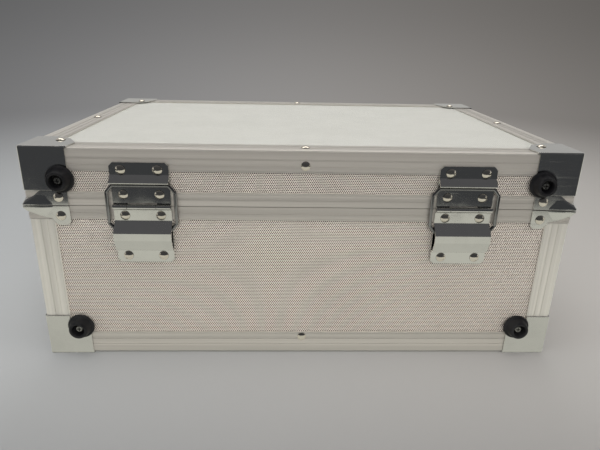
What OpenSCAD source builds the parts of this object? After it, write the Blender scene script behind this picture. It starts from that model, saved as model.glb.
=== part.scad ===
// Record carrying case: aluminium-framed box with a hinged lid, stop hinges
// with wire rings, pressed steel corners, rubber feet, two hasp latches and
// a swinging handle.
// X runs along the width, -Y is the hinge side, +Y the latch side, Z is up.
// The origin is the centre of the bounding box's bottom. Sizes are in mm.

/* [Case] */
// width over the pressed corners
case_w = 482; // [430:1:540]
// depth over the pressed corners
case_d = 328; // [290:1:380]
// height over the pressed corners
case_h = 202; // [190:1:230]
// height of the lid above the line where it meets the base
lid_h = 52; // [50:1:67]
// thickness of the panels
panel_t = 4.4; // [4:0.1:4.8]

/* [Aluminium rails] */
// width of each face of the edge rails and corner posts
rail_w = 22; // [19:0.5:23]
// wall thickness of the rails
rail_t = 1.3; // [1:0.1:1.5]
// face height of the two rims at the split line
rim_h = 12.2; // [11:0.1:13]
// gap between the two closed rims
rim_gap = 0.5; // [0.3:0.1:0.8]

/* [Pressed corners] */
// length of a corner piece along each edge
corner_l = 41; // [38:0.5:44]
// sheet thickness of the corner pieces
corner_t = 1.2; // [1:0.1:1.4]
// outside radius of the corner pieces
corner_r = 2.5; // [2:0.5:4]

/* [Feet] */
// diameter of a rubber foot where it meets the case
foot_d = 24; // [22:0.5:24.5]
// height of a rubber foot
foot_h = 10.5; // [9.5:0.5:14]

/* [Stop hinges] */
// distance from the side of the case to the middle of each hinge
hinge_in = 100; // [80:1:120]
// width of the hinge leaves
leaf_w = 50; // [46:1:54]
// sheet thickness of the hinge leaves
leaf_t = 1.5; // [1.2:0.1:1.6]
// wire diameter of the stop ring
wire_d = 3; // [2.6:0.1:3]
// distance between the two cross bars of the stop ring
ring_l = 40.5; // [40.3:0.1:40.7]

/* [Rivets] */
// diameter of a rivet head
rivet_d = 8.4; // [7:0.1:8.6]
// height of a rivet head
rivet_h = 1.9; // [1.5:0.1:2]

/* [Handle and latches] */
// distance between the handle's pivots
handle_w = 128; // [110:1:150]
// diameter of the handle grip
grip_d = 17; // [14:0.5:18]
// distance from the side of the case to the middle of each latch
latch_in = 100; // [80:1:120]
// angle at which the released hasps stand off their latches
hasp_rest = 14; // [8:1:15]

/* [Hidden] */
eps = 0.02;
gap = 0.25;
fine = 64;

// the rail channel that grips a panel edge
recess = rail_t + 0.1;
lip_t = 1.2;
lip_l = 10;
seat = recess + panel_t + 0.2;
block = seat + lip_t;
panel_edge = block + 0.3;

// split line, and places of the hinges and latches from the middle of the case
split_z = case_h - lid_h;
hinge_x = case_w / 2 - hinge_in;
latch_x = case_w / 2 - latch_in;

// outer planes of the rails, measured from the middle of the case
rail_x = case_w / 2 - corner_t;
rail_y = case_d / 2 - corner_t;
rail_bottom = corner_t;
rail_top = case_h - corner_t;
base_top = split_z - rim_gap / 2;
lid_bottom = split_z + rim_gap / 2;

// reach of the feet behind the case and of the handle in front of it
handle_axis = grip_d / 2 + 1.5;
front_reach = handle_axis + grip_d / 2 - corner_t;
body_y = (foot_h - front_reach) / 2;

// stop hinge: its axis lies outside the rail plane
axis_out = 3.2;
knuckle_r = 2.4;
pin_r = 1.3;
leaf_top = 39.3;
leaf_low = 52;
upper_row = 33.1;
upper_near_row = 10.8;
lower_near_row = 8.2;
lower_row = 45.6;
rivet_pitch = 31;
cover_t = 1.2;
bar_up = 19.5;
bar_low = ring_l - bar_up;
ring_x = leaf_w / 2 + 4.2;
ring_bend = 5;

// feet: their middle measured in from the case corner
foot_in = 33;
lid_foot_down = 28;
base_foot_up = 31;

// flared guards at the ends of the rims
guard_l = 36;
guard_h = 13;
guard_flare = 1.8;

// latch and handle sizes, measured out from the front rail plane
hasp_axis_n = 5.6;
hasp_axis_up = 6;
hasp_l = 36;
hasp_w = 24;
housing_n = 6.4;
handle_z = split_z - 44;
arm_l = 32;

// colours of the sub-parts
panel_c = [0.70, 0.67, 0.62];
top_c = [0.77, 0.78, 0.74];
rail_c = [0.72, 0.71, 0.67];
steel_c = [0.60, 0.61, 0.60];
rivet_c = [0.75, 0.73, 0.66];
rubber_c = [0.06, 0.06, 0.06];
lining_c = [0.12, 0.12, 0.13];
grip_c = [0.10, 0.10, 0.10];

// half distances of wall i from the middle: 0 rear, 1 right, 2 front, 3 left
function wall_half(i) = i % 2 == 0 ? rail_y : rail_x;
function side_half(i) = i % 2 == 0 ? rail_x : rail_y;

// turns a shape drawn for the rear edge onto edge i
module on_edge(i) {
    translate([0, body_y, 0])
        rotate([0, 0, 90 * i])
            translate([0, -wall_half(i), 0])
                children();
}

// drawing plane of wall i: X along the wall, Y up, Z out from the rail plane
module on_wall(i) {
    on_edge(i)
        rotate([90, 0, 0])
            children();
}

// vertical edge i with X and Y running inwards: 0 rear left, then to the right
module on_corner(i) {
    on_edge(i)
        translate([-side_half(i), 0, 0])
            children();
}

// extrudes a section (X inwards, Y up) along the rear edge
module along_edge(length) {
    rotate([90, 0, 90])
        translate([0, 0, -length / 2])
            linear_extrude(length)
                children();
}

// square with its two lower corners at the origin and on X rounded off
module soft_square(size_x, size_y, radius) {
    translate([radius, 0])
        square([size_x - radius, size_y]);
    translate([0, radius])
        square([size_x, size_y - radius]);
    translate([radius, radius])
        circle(r = radius, $fn = fine);
}

// section of a double-angle rail with its rounded outer corner at the origin
module angle_section(leg_x, leg_y, radius) {
    difference() {
        union() {
            difference() {
                soft_square(leg_x, leg_y, radius);
                translate([rail_t, rail_t])
                    square([leg_x, leg_y]);
            }
            square_block(0.2 + 0.3 * radius);
            translate([seat, seat])
                difference() {
                    square([lip_l, lip_l]);
                    translate([lip_t, lip_t])
                        square([lip_l, lip_l]);
                }
        }
        for (k = [0.40, 0.66]) {
            translate([leg_x * k, -eps])
                square([1.5, 0.4 + eps]);
            translate([-eps, leg_y * k])
                square([0.4 + eps, 1.5]);
        }
        translate([leg_x - 1.6, -eps])
            square([0.7, 0.3 + eps]);
        translate([-eps, leg_y - 1.6])
            square([0.3 + eps, 0.7]);
    }
}

// hollow closed corner of the rail section, from a distance inside the outer corner
module square_block(start) {
    difference() {
        translate([start, start])
            square(block - start);
        translate([rail_t + 0.4, rail_t + 0.4])
            square(block - rail_t - 1.6);
    }
}

// section of the rim on the base walls, its outer top corner at the origin
module base_rim_section() {
    difference() {
        union() {
            translate([0, -rim_h])
                square([rail_t, rim_h]);
            translate([0, -5])
                square([block, 5]);
            translate([seat, -rim_h + 2])
                square([lip_t, rim_h - 2]);
        }
        translate([2.5, -2.2])
            square([2.2, 2.2 + eps]);
        translate([-eps, -rim_h * 0.55])
            square([0.4 + eps, 1.4]);
        translate([-eps, -rim_h + 1.4])
            square([0.3 + eps, 0.7]);
    }
}

// section of the rim on the lid walls, its outer lower corner at the origin
module lid_rim_section() {
    difference() {
        union() {
            square([rail_t, rim_h]);
            square([block, 4.5]);
            translate([seat, 0])
                square([lip_t, rim_h - 2]);
            translate([2.85, -1.5])
                square([1.4, 1.5 + eps]);
        }
        translate([-eps, rim_h * 0.45])
            square([0.4 + eps, 1.4]);
        translate([-eps, rim_h - 2.1])
            square([0.3 + eps, 0.7]);
    }
}

// four mitred lengths of a rim around the case
module rim_frame(z) {
    for (i = [0:3])
        on_edge(i)
            intersection() {
                translate([0, 0, z])
                    along_edge(2 * side_half(i))
                        children();
                translate([0, 0, z - rim_h - 3])
                    linear_extrude(2 * rim_h + 6)
                        polygon([[-side_half(i) + 0.05, -eps], [side_half(i) - 0.05, -eps],
                                [side_half(i) - 20.05, 20 - eps], [-side_half(i) + 20.05, 20 - eps]]);
            }
}

// rail along bottom edge i
module bottom_rail(i) {
    color(rail_c)
        on_edge(i)
            translate([0, 0, rail_bottom])
                along_edge(2 * side_half(i) - 2 * rail_w - 3)
                    angle_section(rail_w, rail_w, 2);
}

// rail along top edge i
module top_rail(i) {
    color(rail_c)
        on_edge(i)
            translate([0, 0, rail_top])
                along_edge(2 * side_half(i) - 2 * rail_w - 3)
                    mirror([0, 1])
                        angle_section(rail_w, rail_w - 2, 2);
}

// upright rail at vertical edge i between two heights
module post(i, low, high) {
    on_corner(i)
        translate([0, 0, low])
            linear_extrude(high - low)
                angle_section(rail_w, rail_w, corner_r - corner_t + 0.2);
}

// upright rail of the base
module base_post(i) {
    color(rail_c)
        post(i, rail_bottom + rail_w + gap, base_top - rim_h - gap);
}

module lid_posts() {
    color(rail_c)
        for (i = [0:3])
            post(i, lid_bottom + rim_h + gap, rail_top - rail_w + 2 - gap);
}

module base_rim() {
    color(rail_c)
        rim_frame(base_top)
            base_rim_section();
}

module lid_rim() {
    color(rail_c)
        rim_frame(lid_bottom)
            lid_rim_section();
}

// panel of wall i between two heights
module wall_panel(i, low, high) {
    color(panel_c)
        on_wall(i)
            translate([-side_half(i) + panel_edge, low, -recess - panel_t])
                cube([2 * (side_half(i) - panel_edge), high - low, panel_t]);
}

// panel of the base wall i
module base_wall(i) {
    wall_panel(i, rail_bottom + panel_edge, base_top - 5 - gap);
}

// panel of the lid wall i
module lid_wall(i) {
    wall_panel(i, lid_bottom + 4.5 + gap, rail_top - panel_edge);
}

// level panel with its lower face at a height
module level_panel(z) {
    translate([-rail_x + panel_edge, body_y - rail_y + panel_edge, z])
        cube([2 * (rail_x - panel_edge), 2 * (rail_y - panel_edge), panel_t]);
}

module base_bottom_panel() {
    color(panel_c)
        level_panel(rail_bottom + recess);
}

module lid_top_panel() {
    color(top_c)
        level_panel(rail_top - recess - panel_t);
}

// face outline of a corner piece with a riveted lug at its inner corner
module lug_outline(height) {
    difference() {
        polygon([[0, 0], [corner_l, 0], [corner_l + 1.5, 17], [33, 33], [17, corner_l + 1.5], [0, corner_l]]);
        translate([-1, height])
            square([3 * corner_l, 3 * corner_l]);
    }
}

// face outline of a base corner piece behind a foot
module foot_outline() {
    square([corner_l, rail_w + 1]);
    square([rail_w + 1, corner_l]);
    translate([foot_in, base_foot_up])
        circle(r = foot_d / 2 - 1.4, $fn = fine);
}

// face outline of a lid corner piece behind a foot
module plain_outline(height) {
    square([corner_l - 1.5, height]);
}

// three-sided sheet corner in the octant X, Y, Z > 0, rounded at its upright edge
// children 0, 1 and 2 outline the faces normal to Z, Y and X
module sheet_corner(height) {
    difference() {
        union() {
            linear_extrude(corner_t)
                intersection() {
                    children(0);
                    soft_square(corner_l + 5, corner_l + 5, corner_r);
                }
            translate([0, corner_t, 0])
                rotate([90, 0, 0])
                    linear_extrude(corner_t)
                        beyond_bend()
                            children(1);
            rotate([90, 0, 90])
                linear_extrude(corner_t)
                    beyond_bend()
                        children(2);
            linear_extrude(height)
                bend_section();
        }
        rotate([45, 0, 0])
            cube([4 * corner_l, 1.3, 1.3], center = true);
        rotate([0, 45, 0])
            cube([1.3, 4 * corner_l, 1.3], center = true);
        translate([corner_r * 0.29, corner_r * 0.29, 0])
            rotate([0, 0, -45])
                rotate([45, 0, 0])
                    cube([4 * corner_r, 1.3, 1.3], center = true);
    }
}

// keeps the part of an upright outline past the rounded edge
module beyond_bend() {
    intersection() {
        children();
        translate([corner_r, 0])
            square(2 * corner_l);
    }
}

// quarter ring that joins the two upright faces, seen from above
module bend_section() {
    intersection() {
        difference() {
            translate([corner_r, corner_r])
                circle(r = corner_r, $fn = fine);
            translate([corner_r, corner_r])
                circle(r = corner_r - corner_t, $fn = fine);
        }
        square(corner_r);
    }
}

// corner piece i in place: the case corner at a height, upright or inverted
module placed_corner(i, z, up) {
    on_corner(i)
        translate([-corner_t, -corner_t, z])
            mirror([0, 0, up ? 0 : 1])
                children();
}

module base_corner(i) {
    color(steel_c)
        placed_corner(i, 0, true)
            sheet_corner(corner_l) {
                lug_outline(2 * corner_l);
                base_face(i == 0);
                base_face(i == 1);
            }
}

// outline of an upright face of a base corner
module base_face(under_foot) {
    if (under_foot)
        foot_outline();
    else
        lug_outline(2 * corner_l);
}

module lid_corner(i) {
    height = case_h - lid_bottom - guard_h - 0.4;
    color(steel_c)
        placed_corner(i, case_h, false)
            sheet_corner(height) {
                lug_outline(2 * corner_l);
                lid_face(i == 0, height);
                lid_face(i == 1, height);
            }
}

// outline of an upright face of a lid corner
module lid_face(under_foot, height) {
    if (under_foot)
        plain_outline(height);
    else
        lug_outline(height);
}

// outline of one leg of a guard: low at the vertical edge, with a tall riveted tab
module guard_outline(tall) {
    bend = corner_r - corner_t;
    if (tall)
        polygon([[bend, 0.2], [guard_l, 0.2], [guard_l, 14.5], [guard_l - 3, 17.5], [guard_l - 11, 17.5],
                [guard_l - 14, 14.5], [guard_l - 16, 11], [15, 10.6], [8, 8], [bend, 5.2]]);
    else
        polygon([[bend, 0.2], [guard_l, 0.2], [guard_l, guard_h], [12.5, guard_h], [7, 8.5], [bend, 5.2]]);
}

// flared guard at vertical edge i: its lip meets the split line
module rim_guard(i, up) {
    on_corner(i)
        translate([0, 0, up ? lid_bottom : base_top])
            mirror([0, 0, up ? 0 : 1])
                difference() {
                    union() {
                        rotate([90, 0, 0])
                            linear_extrude(corner_t)
                                guard_outline(!up);
                        translate([-corner_t, 0, 0])
                            rotate([90, 0, 90])
                                linear_extrude(corner_t)
                                    guard_outline(!up);
                        translate([-corner_t, -corner_t, 0.2])
                            linear_extrude(5)
                                bend_section();
                        guard_lip();
                    }
                    translate([0, 0, -1])
                        cube([2 * guard_l, 2 * guard_l, 2 * guard_h]);
                }
}

// plan curve of the lip along one leg: how far out it stands at each step away from the vertical edge
function lip_curve(steps) = [for (k = [0:steps]) [4 + 18 * k / steps, -corner_t - guard_flare * (1 - pow(k / steps, 2))]];

// the lip that swells outwards to a point at the vertical edge
module guard_lip() {
    tip = -corner_t - guard_flare;
    leg = lip_curve(5);
    hull() {
        translate([0, 0, 0.2])
            linear_extrude(1.2)
                polygon(concat([[tip + 0.8, tip]], leg, [for (k = [5:-1:0]) [leg[k][1], leg[k][0]]],
                        [[tip, tip + 0.8]]));
        translate([0, 0, 4.6])
            linear_extrude(0.4)
                polygon([[-corner_t + 1.2, -corner_t], [5, -corner_t], [5, 1], [1, 5], [-corner_t, 5],
                        [-corner_t, -corner_t + 1.2]]);
        translate([0, 0, 8.6])
            linear_extrude(0.4)
                polygon([[10, -corner_t], [16, -corner_t], [16, 1], [1, 16], [-corner_t, 16], [-corner_t, 10]]);
    }
}

module base_rim_guards() {
    color(steel_c)
        for (i = [0:3])
            rim_guard(i, false);
}

module lid_rim_guards() {
    color(steel_c)
        for (i = [0:3])
            rim_guard(i, true);
}

// rubber foot standing on the plane Z = 0
module foot() {
    rotate_extrude($fn = fine)
        difference() {
            union() {
                square([foot_d / 2 - 0.8, 3.2]);
                translate([0, 0.8])
                    square([foot_d / 2, 1.6]);
                polygon([[0, 0], [foot_d / 2 - 1.6, 2.6], [foot_d / 2 - 3.6, foot_h - 1], [foot_d / 2 - 4.6, foot_h],
                        [0, foot_h]]);
            }
            translate([-1, 4.5])
                square([5.6, foot_h]);
            translate([-1, -1])
                square([3.2, foot_h]);
        }
}

// screw in the recess of a foot
module foot_screw() {
    difference() {
        union() {
            translate([0, 0, 4.5])
                cylinder(r = 4, h = 1.4, $fn = fine);
            translate([0, 0, 5.9])
                cylinder(r1 = 4, r2 = 2.6, h = 0.9, $fn = fine);
            cylinder(r = 2, h = 5, $fn = fine);
        }
        for (turn = [0, 90])
            rotate([0, 0, turn])
                translate([-2, -0.45, 5.6])
                    cube([4, 0.9, 2]);
    }
}

// places children at the two rear foot positions of a wall height
module at_feet(z) {
    for (side = [-1, 1])
        on_wall(0)
            translate([side * (case_w / 2 - foot_in), z, corner_t])
                children();
}

module base_feet() {
    color(rubber_c)
        at_feet(base_foot_up)
            foot();
}

module lid_feet() {
    color(rubber_c)
        at_feet(case_h - lid_foot_down)
            foot();
}

module base_foot_screws() {
    color(rivet_c)
        at_feet(base_foot_up)
            foot_screw();
}

module lid_foot_screws() {
    color(rivet_c)
        at_feet(case_h - lid_foot_down)
            foot_screw();
}

// domed rivet head standing on the plane Z = 0
module rivet() {
    half = rivet_d / 2;
    ball = (rivet_h * rivet_h + half * half) / (2 * rivet_h);
    rotate_extrude($fn = fine)
        intersection() {
            translate([0, rivet_h - ball])
                circle(r = ball, $fn = fine);
            square([half + 1, rivet_h + 1]);
        }
}

// rivet on wall i at a place along it, a height and a distance out
module rivet_at(i, along, z, out) {
    on_wall(i)
        translate([along, z, out])
            rivet();
}

// rivets of both faces of the four rim guards
module guard_rivets(z) {
    for (i = [0:3])
        for (side = [-1, 1])
            rivet_at(i, side * (side_half(i) - 28), z, corner_t);
}

// pairs of rivets in one row of both hinges
module hinge_rivets(z, out) {
    for (place = [-hinge_x, hinge_x])
        for (side = [-1, 1])
            rivet_at(0, place + side * rivet_pitch / 2, z, out);
}

module base_rivets() {
    color(rivet_c) {
        guard_rivets(split_z - 9.2);
        hinge_rivets(split_z - lower_near_row, leaf_t);
        hinge_rivets(split_z - lower_row, leaf_t + cover_t);
        for (i = [1:3])
            for (side = [-1, 1])
                rivet_at(i, side * (side_half(i) - 26), 27, corner_t);
        for (i = [0:3])
            rivet_at(i, 0, rail_bottom + rail_w * 0.78, 0);
        for (place = [-latch_x, latch_x])
            for (side = [-1, 1])
                for (z = [split_z - 14, split_z - 52])
                    rivet_at(2, place + side * 21, z, 1.2);
        for (side = [-1, 1])
            for (z = [handle_z - 13, handle_z + 13])
                rivet_at(2, side * (handle_w / 2 + 8), z, 2 - recess);
    }
}

module lid_rivets() {
    color(rivet_c) {
        guard_rivets(split_z + 7.6);
        hinge_rivets(split_z + upper_near_row, leaf_t);
        hinge_rivets(split_z + upper_row, leaf_t + cover_t);
        for (i = [1:3])
            for (side = [-1, 1])
                rivet_at(i, side * (side_half(i) - 26), case_h - 22, corner_t);
        for (i = [0:3]) {
            rivet_at(i, 0, rail_top - rail_w * 0.61, 0);
            on_edge(i)
                translate([0, rail_w * 0.53, rail_top])
                    rivet();
            on_corner(i)
                translate([25.5, 25.5, case_h])
                    rivet();
        }
        for (place = [-latch_x, latch_x])
            for (side = [-1, 1])
                rivet_at(2, place + side * 10, split_z + 22, 1.5);
    }
}

// thin open tray with its floor at a height, walls up to another height
module lining_tray(floor_z, edge_z) {
    inset = block + 0.3;
    thick = 1.2;
    low = min(floor_z, edge_z);
    high = max(floor_z, edge_z);
    up = edge_z > floor_z;
    difference() {
        translate([-rail_x + inset, body_y - rail_y + inset, low])
            cube([2 * (rail_x - inset), 2 * (rail_y - inset), high - low]);
        translate([-rail_x + inset + thick, body_y - rail_y + inset + thick, up ? low + thick : low - thick])
            cube([2 * (rail_x - inset - thick), 2 * (rail_y - inset - thick), high - low]);
    }
}

module base_lining() {
    color(lining_c)
        lining_tray(rail_bottom + block + 0.2, base_top - 1.5);
}

module lid_lining() {
    color(lining_c)
        lining_tray(rail_top - block - 0.2, lid_bottom + 1.5);
}

// turns hinge sections (X out from the hinge axis, Y up) into rear wall shapes
module hinge_extrude(length) {
    translate([0, body_y - rail_y - axis_out, split_z])
        rotate([90, 0, 90])
            mirror([1, 0, 0])
                translate([0, 0, -length / 2])
                    linear_extrude(length)
                        children();
}

// section of the upper leaf: plate and short steep cover
module upper_leaf_section() {
    back = -axis_out;
    face = back + leaf_t;
    translate([back, knuckle_r + 0.5])
        square([leaf_t, leaf_top - knuckle_r - 0.5]);
    polygon([[face - eps, leaf_top], [face + cover_t, leaf_top], [face + cover_t, 28.7], [5.2, 22.7], [4.5, 21.7],
            [3.9, 22.3], [face - eps, 27.3]]);
}

// section of the lower leaf: plate, and a pressed bridge that the ring's lower bar slides behind
module lower_leaf_section() {
    back = -axis_out;
    face = back + leaf_t;
    translate([back, -leaf_low])
        square([leaf_t, leaf_low - knuckle_r - 0.5]);
    difference() {
        polygon([[face - eps, -leaf_low], [face + cover_t, -leaf_low], [face + cover_t, -40.3], [3.1, -38.9],
                [7.2, -28.9], [7.2, -22.2], [face - eps, -13]]);
        polygon([[face, -38.9], [2, -38], [6, -28.6], [6, -22.8], [face, -14.8]]);
    }
}

// knuckle section with the neck that joins it to its leaf
module knuckle_section(up) {
    difference() {
        union() {
            circle(r = knuckle_r, $fn = fine);
            translate([-axis_out, up ? 0 : -knuckle_r - 0.6])
                square([leaf_t, knuckle_r + 0.6]);
        }
        circle(r = pin_r + 0.05, $fn = fine);
    }
}

// cuts the two far corners of a leaf
module leaf_corner_cuts(z) {
    for (side = [-1, 1])
        translate([side * leaf_w / 2, body_y - rail_y - axis_out, split_z + z])
            rotate([0, 45, 0])
                cube([4.4, 30, 4.4], center = true);
}

// upper leaf with its two outer knuckles
module upper_leaf(x) {
    color(steel_c)
        translate([x, 0, 0]) {
            difference() {
                hinge_extrude(leaf_w)
                    upper_leaf_section();
                leaf_corner_cuts(leaf_top);
            }
            for (side = [-1, 1])
                translate([side * leaf_w * 0.375, 0, 0])
                    hinge_extrude(leaf_w * 0.25 - 0.4)
                        knuckle_section(true);
        }
}

// lower leaf with its middle knuckle
module lower_leaf(x) {
    color(steel_c)
        translate([x, 0, 0]) {
            difference() {
                hinge_extrude(leaf_w)
                    lower_leaf_section();
                leaf_corner_cuts(-leaf_low);
            }
            hinge_extrude(leaf_w * 0.5 - 0.4)
                knuckle_section(false);
        }
}

module hinge_pins() {
    color(rivet_c)
        for (x = [-hinge_x, hinge_x])
            translate([x, 0, 0])
                hinge_extrude(leaf_w)
                    circle(r = pin_r, $fn = fine);
}

// closed loop of wire drawn in X and Y: four straight bars joined by quarter bends
module wire_loop(half_x, low, high, bend) {
    mid_x = half_x - bend;
    for (side = [-1, 1])
        translate([side * half_x, low + bend, 0])
            rotate([-90, 0, 0])
                cylinder(r = wire_d / 2, h = high - low - 2 * bend, $fn = fine);
    for (level = [low, high])
        translate([-mid_x, level, 0])
            rotate([0, 90, 0])
                cylinder(r = wire_d / 2, h = 2 * mid_x, $fn = fine);
    for (place = [[mid_x, high - bend, 0], [-mid_x, high - bend, 90], [-mid_x, low + bend, 180],
            [mid_x, low + bend, 270]])
        translate([place[0], place[1], 0])
            rotate([0, 0, place[2]])
                rotate_extrude(angle = 90, $fn = fine)
                    translate([bend, 0])
                        circle(r = wire_d / 2, $fn = fine);
}

// stop ring: a wire loop round the leaves, its top bar at the upper cover's mouth
module stop_ring(x) {
    color(rivet_c)
        translate([x, body_y - rail_y - axis_out, split_z])
            rotate([90, 0, 0])
                wire_loop(ring_x, -bar_low, bar_up, ring_bend);
}

// latch housing on the base front: back plate, raised cover and button slot
module latch_housing(x) {
    color(steel_c)
        on_wall(2)
            translate([-x, split_z, 0])
                difference() {
                    union() {
                        translate([-27, -57, 0])
                            rounded_plate(54, 49, 3, 1.2);
                        translate([-15, -55, 0])
                            rounded_plate(30, 45, 3, housing_n);
                    }
                    translate([-13.6, -53.6, -eps])
                        cube([27.2, 42.2, housing_n - 1.2]);
                    translate([-7, -27.5, 1])
                        cube([14, 8, housing_n]);
                    translate([-9, -48, 1])
                        cube([18, 8.6, housing_n]);
                }
}

// plate with rounded corners, its lower left corner at the origin
module rounded_plate(width, height, radius, thick) {
    translate([radius, 0, 0])
        cube([width - 2 * radius, height, thick]);
    translate([0, radius, 0])
        cube([width, height - 2 * radius, thick]);
    for (px = [radius, width - radius])
        for (py = [radius, height - radius])
            translate([px, py, 0])
                cylinder(r = radius, h = thick, $fn = fine);
}

// sliding release button in the housing's lower slot
module latch_button(x) {
    color(rivet_c)
        on_wall(2)
            translate([-x, split_z, 0]) {
                translate([-6.5, -47.6, 2])
                    cube([10, 7.8, housing_n]);
                translate([-9, -50.5, 2])
                    cube([16, 13.6, housing_n - 1.5 - 2]);
                for (rib = [0:3])
                    translate([-5.5 + 2.4 * rib, -47, housing_n + 2 - eps])
                        cube([1, 6.6, 0.6]);
            }
}

// plate, lugs and pin that carry a hasp on the lid front
module hasp_mounts() {
    color(steel_c)
        for (x = [-latch_x, latch_x])
            on_wall(2)
                translate([-x, split_z, 0]) {
                    translate([-18, 2, 0])
                        rounded_plate(36, 26, 3, 1.5);
                    for (side = [-1, 1])
                        translate([side * (hasp_w / 2 + 2.2) - 1.6, 2.6, 0])
                            cube([3.2, 7, hasp_axis_n + 2.6]);
                    translate([-hasp_w / 2 - 2, hasp_axis_up, hasp_axis_n])
                        rotate([0, 90, 0])
                            cylinder(r = 1.5, h = hasp_w + 4, $fn = fine);
                }
}

// hasp plate with its barrel and catch tooth, standing off at its rest angle
module latch_hasp(x) {
    color(steel_c)
        on_wall(2)
            translate([-x, split_z + hasp_axis_up, hasp_axis_n])
                rotate([-hasp_rest, 0, 0])
                    difference() {
                        union() {
                            translate([-hasp_w / 2, 0, 0])
                                rotate([0, 90, 0])
                                    cylinder(r = 2.8, h = hasp_w, $fn = fine);
                            translate([-hasp_w / 2, -hasp_l + 3, 1.2])
                                cube([hasp_w, hasp_l - 3, 1.6]);
                            translate([0, -hasp_l + 3 + eps, 1.2])
                                linear_extrude(1.6)
                                    polygon([[-hasp_w / 2, 0], [4 - hasp_w / 2, -4], [hasp_w / 2 - 4, -4], [hasp_w / 2, 0]]);
                            translate([-5, -hasp_l + 5, -3])
                                cube([10, 3.4, 4.4]);
                            translate([-hasp_w / 2 + 3, -hasp_l + 1.2, 2.8 - eps])
                                cube([hasp_w - 6, 1.4, 1]);
                        }
                        translate([-hasp_w / 2 - 1, 0, 0])
                            rotate([0, 90, 0])
                                cylinder(r = 1.55, h = hasp_w + 2, $fn = fine);
                    }
}

// two bearing brackets of the carrying handle
module handle_brackets() {
    color(steel_c)
        for (side = [-1, 1])
            on_wall(2)
                translate([side * handle_w / 2, handle_z, 0])
                    mirror([side > 0 ? 0 : 1, 0, 0])
                        difference() {
                            union() {
                                translate([-4, -20, -recess])
                                    rounded_plate(20, 40, 3, 2);
                                translate([-3.6, -7, -recess])
                                    cube([7.2, 14, handle_axis + recess]);
                                translate([-3.6, 0, handle_axis])
                                    rotate([0, 90, 0])
                                        cylinder(r = 7, h = 7.2, $fn = fine);
                            }
                            translate([-5, 0, handle_axis])
                                rotate([0, 90, 0])
                                    cylinder(r = 3.05, h = 20, $fn = fine);
                            translate([-5, -30, -recess - 20])
                                cube([30, 60, 20]);
                        }
}

// outline of a handle arm from its pivot down to the grip
module arm_outline() {
    circle(r = 6.5, $fn = fine);
    translate([-6.5, -arm_l])
        square([13, arm_l]);
    translate([0, -arm_l])
        circle(r = 6.5, $fn = fine);
}

// handle hanging at rest: grip, two arms and the pivot stubs
module handle_grip() {
    arm_x = handle_w / 2 - 3.6 - 0.6;
    color(grip_c)
        on_wall(2)
            translate([0, handle_z, handle_axis]) {
                translate([-arm_x + 3, -arm_l, 0])
                    rotate([0, 90, 0])
                        rotate_extrude($fn = fine)
                            grip_section(2 * arm_x - 6);
                for (side = [-1, 1])
                    mirror([side > 0 ? 0 : 1, 0, 0]) {
                        translate([arm_x - 6, 0, 0])
                            rotate([0, 90, 0])
                                linear_extrude(6)
                                    arm_outline();
                        translate([arm_x - 1, 0, 0])
                            rotate([0, 90, 0])
                                cylinder(r = 3, h = 8.8, $fn = fine);
                    }
            }
}

// half section of the grip with its shallow finger grooves
module grip_section(length) {
    difference() {
        square([grip_d / 2, length]);
        for (k = [1:9])
            translate([grip_d / 2 - 0.4, length * k / 10 - 0.8])
                square([1, 1.6]);
    }
}

base_bottom_panel();
base_wall(0);  // base_rear_panel
base_wall(1);  // base_right_panel
base_wall(2);  // base_front_panel
base_wall(3);  // base_left_panel
bottom_rail(0);  // bottom_rail_rear
bottom_rail(1);  // bottom_rail_right
bottom_rail(2);  // bottom_rail_front
bottom_rail(3);  // bottom_rail_left
base_post(0);  // post_rear_left
base_post(1);  // post_rear_right
base_post(2);  // post_front_right
base_post(3);  // post_front_left
base_rim();
base_corner(0);  // base_corner_rear_left
base_corner(1);  // base_corner_rear_right
base_corner(2);  // base_corner_front_right
base_corner(3);  // base_corner_front_left
base_rim_guards();
base_feet();
base_foot_screws();
base_rivets();
base_lining();
lower_leaf(-hinge_x);  // hinge_left_lower_leaf
lower_leaf(hinge_x);  // hinge_right_lower_leaf
hinge_pins();
latch_housing(-latch_x);  // latch_left_housing
latch_housing(latch_x);  // latch_right_housing
latch_button(-latch_x);  // latch_left_button
latch_button(latch_x);  // latch_right_button
handle_brackets();
handle_grip();
lid_top_panel();
lid_wall(0);  // lid_rear_panel
lid_wall(1);  // lid_right_panel
lid_wall(2);  // lid_front_panel
lid_wall(3);  // lid_left_panel
top_rail(0);  // top_rail_rear
top_rail(1);  // top_rail_right
top_rail(2);  // top_rail_front
top_rail(3);  // top_rail_left
lid_posts();
lid_rim();
lid_corner(0);  // lid_corner_rear_left
lid_corner(1);  // lid_corner_rear_right
lid_corner(2);  // lid_corner_front_right
lid_corner(3);  // lid_corner_front_left
lid_rim_guards();
lid_feet();
lid_foot_screws();
lid_rivets();
lid_lining();
upper_leaf(-hinge_x);  // hinge_left_upper_leaf
upper_leaf(hinge_x);  // hinge_right_upper_leaf
hasp_mounts();
latch_hasp(-latch_x);  // latch_left_hasp
latch_hasp(latch_x);  // latch_right_hasp
stop_ring(-hinge_x);  // stop_ring_left
stop_ring(hinge_x);  // stop_ring_right
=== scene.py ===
"""Looks of an aluminium-framed record carrying case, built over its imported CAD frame.

The camera looks at the hinge wall, as the reference photograph does.
"""

import logging
import math
from collections.abc import Mapping, Sequence
from dataclasses import dataclass
from enum import Enum

import bmesh
import bpy
from mathutils import Matrix, Vector


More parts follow.
